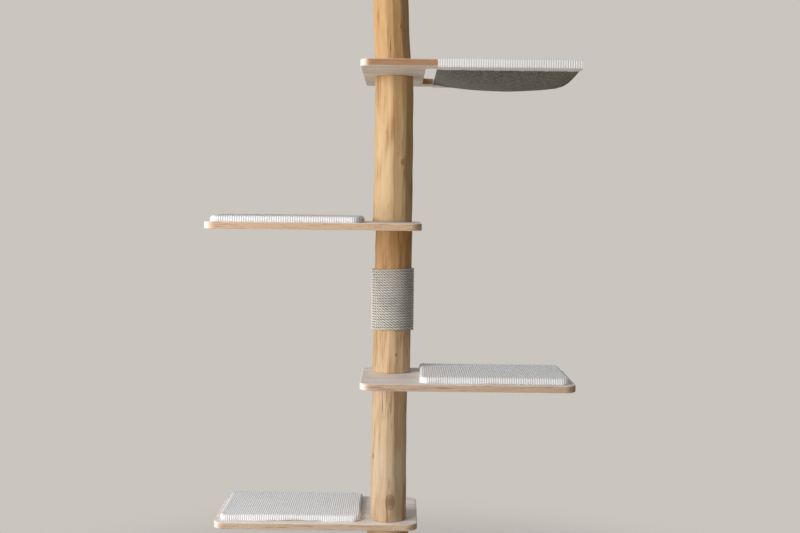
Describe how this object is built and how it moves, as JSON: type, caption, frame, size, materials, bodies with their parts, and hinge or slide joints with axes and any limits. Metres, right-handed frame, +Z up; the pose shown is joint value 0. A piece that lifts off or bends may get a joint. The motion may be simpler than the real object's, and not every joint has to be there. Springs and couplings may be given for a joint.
{
  "type": "floor-to-ceiling cat tree",
  "caption": "Peeled-log column with plywood shelves, loose cushions, a cloth hammock, a rope winding and a screw tensioner that braces it against the ceiling.",
  "frame": {"origin": "on the floor, on the axis of the column's studs", "axes": "+Z up the column, -Y towards the room, +X to the right of someone who stands in the room"},
  "size_m": [0.964, 0.5166, 2.45],
  "materials": {
    "log_wood": "peeled and drawknifed trunk, oiled, knots and checks",
    "plywood": "birch plywood, clear matt lacquer, bare laminated edges",
    "sisal_rope": "laid sisal rope, dry and hairy",
    "corduroy": "off-white broad-wale corduroy",
    "grey_felt": "dense grey wool felt",
    "foam": "soft white foam",
    "zinc_steel": "bright zinc plated",
    "pad_rubber": "dense black sheet rubber"
  },
  "bodies": {
    "column": {"floor_mat": "pad_rubber", "base_plate": "plywood", "base_bolt": "zinc_steel", "base_washer": "zinc_steel", "bottom_log": "log_wood", "lower_log": "log_wood", "middle_log": "log_wood", "upper_log": "log_wood", "top_log": "log_wood", "insert_nuts": "zinc_steel", "joint_studs": "zinc_steel", "rope_winding": "sisal_rope", "thrust_collar": "zinc_steel", "collar_screws": "zinc_steel", "thrust_washer": "zinc_steel"},
    "lower_shelf": {"lower_shelf": "plywood"},
    "lower_cushion": {"lower_cushion_cover": "corduroy", "lower_cushion_foam": "foam"},
    "middle_shelf": {"middle_shelf": "plywood"},
    "middle_cushion": {"middle_cushion_cover": "corduroy", "middle_cushion_foam": "foam"},
    "upper_shelf": {"upper_shelf": "plywood"},
    "upper_cushion": {"upper_cushion_cover": "corduroy", "upper_cushion_foam": "foam"},
    "hammock": {"hammock_frame": "plywood", "hammock_cloth": "corduroy", "hammock_felt": "grey_felt"},
    "adjusting_nuts": {"adjusting_nut": "zinc_steel", "lock_nut": "zinc_steel"},
    "ceiling_support": {"spindle": "zinc_steel", "spindle_flange": "zinc_steel", "flange_screws": "zinc_steel", "ceiling_plate": "plywood", "ceiling_pad": "pad_rubber"}
  },
  "joints": [
    {"name": "lower_shelf_turn", "type": "hinge", "parent": "column", "child": "lower_shelf", "pos_m": [0, 0, 0.422], "axis": [0, 0, 1], "continuous": true},
    {"name": "lower_cushion_lift", "type": "slide", "parent": "lower_shelf", "child": "lower_cushion", "axis": [0, 0, 1], "range_m": [0, 0.12]},
    {"name": "middle_shelf_turn", "type": "hinge", "parent": "column", "child": "middle_shelf", "pos_m": [0, 0, 0.835], "axis": [0, 0, 1], "continuous": true},
    {"name": "middle_cushion_lift", "type": "slide", "parent": "middle_shelf", "child": "middle_cushion", "axis": [0, 0, 1], "range_m": [0, 0.12]},
    {"name": "upper_shelf_turn", "type": "hinge", "parent": "column", "child": "upper_shelf", "pos_m": [0, 0, 1.248], "axis": [0, 0, 1], "continuous": true},
    {"name": "upper_cushion_lift", "type": "slide", "parent": "upper_shelf", "child": "upper_cushion", "axis": [0, 0, 1], "range_m": [0, 0.12]},
    {"name": "hammock_turn", "type": "hinge", "parent": "column", "child": "hammock", "pos_m": [0, 0, 1.661], "axis": [0, 0, 1], "continuous": true},
    {"name": "adjusting_nut_turn", "type": "hinge", "parent": "column", "child": "adjusting_nuts", "pos_m": [0, 0, 2.307], "axis": [0, 0, 1], "range_deg": [-9005, 9005]},
    {"name": "ceiling_plate_slide", "type": "slide", "parent": "column", "child": "ceiling_support", "axis": [0, 0, 1], "range_m": [-0.05, 0.05]}
  ],
  "couplings": [
    {"joint": "adjusting_nut_turn", "follows": "ceiling_plate_slide", "rad_per_m": -3141.6}
  ]
}
